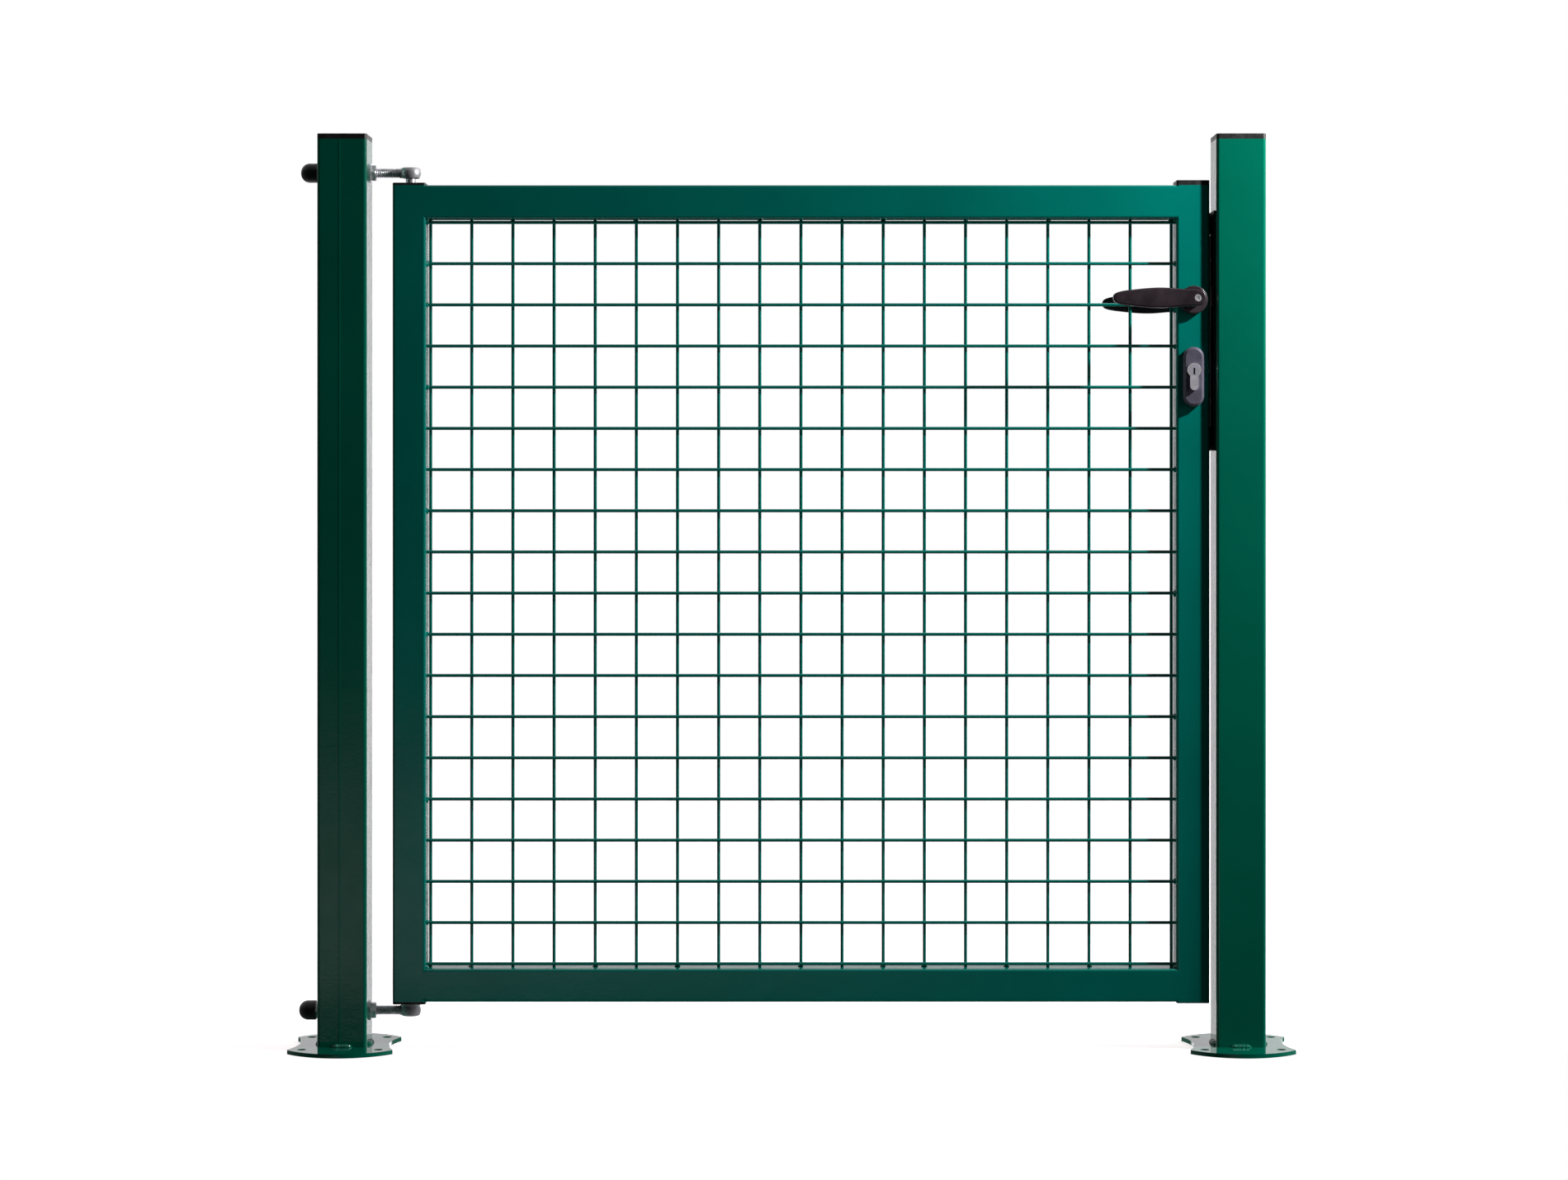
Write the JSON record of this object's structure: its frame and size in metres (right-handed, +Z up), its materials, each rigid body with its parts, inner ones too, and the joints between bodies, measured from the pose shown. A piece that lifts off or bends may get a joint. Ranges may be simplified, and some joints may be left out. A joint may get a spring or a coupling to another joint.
{
  "type": "livestock panel gate",
  "caption": "Pedestrian pen gate: welded mesh leaf in a square tube frame, swinging on eye-bolt hinges between two square posts, with lever lock and keeper.",
  "frame": {"origin": "on the ground, midway between the two posts, at their mid-depth", "axes": "+X from the hinge post to the latch post, +Y from the front to the back, +Z up"},
  "size_m": [1.2118, 0.16, 1.1075],
  "materials": {
    "green_powder_coat": "gloss",
    "black_plastic": "satin",
    "zinc_steel": "satin",
    "black_painted_metal": "satin",
    "stainless_steel": "brushed",
    "nickel_brass": "satin",
    "black_rubber": "matte"
  },
  "bodies": {
    "posts": {"hinge_post": "green_powder_coat", "latch_post": "green_powder_coat", "hinge_post_plate": "green_powder_coat", "latch_post_plate": "green_powder_coat", "hinge_post_cap": "black_plastic", "latch_post_cap": "black_plastic", "foot_welds": "green_powder_coat", "top_eye_bolt": "zinc_steel", "bottom_eye_bolt": "zinc_steel", "top_inner_washer": "zinc_steel", "top_inner_nut": "zinc_steel", "top_outer_washer": "zinc_steel", "top_outer_nut": "zinc_steel", "top_bolt_cover": "black_plastic", "bottom_inner_washer": "zinc_steel", "bottom_inner_nut": "zinc_steel", "bottom_outer_washer": "zinc_steel", "bottom_outer_nut": "zinc_steel", "bottom_bolt_cover": "black_plastic", "keeper": "black_painted_metal", "keeper_screws": "zinc_steel", "keeper_buffers": "black_rubber"},
    "leaf": {"hinge_stile": "green_powder_coat", "latch_stile": "green_powder_coat", "top_rail": "green_powder_coat", "bottom_rail": "green_powder_coat", "frame_welds": "green_powder_coat", "mesh_horizontal_wires": "green_powder_coat", "mesh_vertical_wires": "green_powder_coat", "hinge_stile_top_plug": "black_plastic", "hinge_stile_bottom_plug": "black_plastic", "latch_stile_top_cap": "black_plastic", "latch_stile_bottom_plug": "black_plastic", "top_pin_block": "zinc_steel", "bottom_pin_block": "zinc_steel", "top_hinge_pin": "zinc_steel", "bottom_hinge_pin": "zinc_steel", "thrust_washer": "zinc_steel", "lock_case": "zinc_steel", "lock_cover": "zinc_steel", "forend": "stainless_steel", "forend_screws": "zinc_steel", "cylinder_body": "nickel_brass", "cylinder_screw": "zinc_steel", "front_escutcheon": "black_painted_metal", "back_escutcheon": "black_painted_metal", "escutcheon_screws": "zinc_steel", "front_rosette": "black_painted_metal", "back_rosette": "black_painted_metal", "latch_spring": "zinc_steel"},
    "handle": {"front_lever": "black_painted_metal", "back_lever": "black_painted_metal", "spindle": "zinc_steel", "lever_screws": "black_painted_metal", "follower": "zinc_steel"},
    "latch": {"latch_bolt": "stainless_steel"},
    "deadbolt": {"deadbolt": "stainless_steel"},
    "key_plug": {"front_plug": "nickel_brass", "back_plug": "nickel_brass", "cam": "nickel_brass"}
  },
  "joints": [
    {"name": "gate_swing", "type": "hinge", "parent": "posts", "child": "leaf", "pos_m": [-0.4625, 0, 0.55375], "axis": [0, 0, -1], "range_deg": [0, 120]},
    {"name": "lever_turn", "type": "hinge", "parent": "leaf", "child": "handle", "pos_m": [0.4855, 0, 0.907], "axis": [0, -1, 0], "range_deg": [0, 40], "stiffness_Nm_per_rad": 1, "springref_deg": -57.3},
    {"name": "latch_slide", "type": "slide", "parent": "leaf", "child": "latch", "axis": [1, 0, 0], "range_m": [-0.012, 0], "deforming": ["latch_spring"]},
    {"name": "key_turn", "type": "hinge", "parent": "leaf", "child": "key_plug", "pos_m": [0.4855, 0, 0.822], "axis": [0, -1, 0], "range_deg": [0, 360]},
    {"name": "deadbolt_slide", "type": "slide", "parent": "leaf", "child": "deadbolt", "axis": [1, 0, 0], "range_m": [0, 0.018]}
  ],
  "couplings": [
    {"joint": "latch_slide", "follows": "lever_turn", "m_per_rad": -0.01718},
    {"joint": "key_turn", "follows": "deadbolt_slide", "rad_per_m": 349}
  ]
}
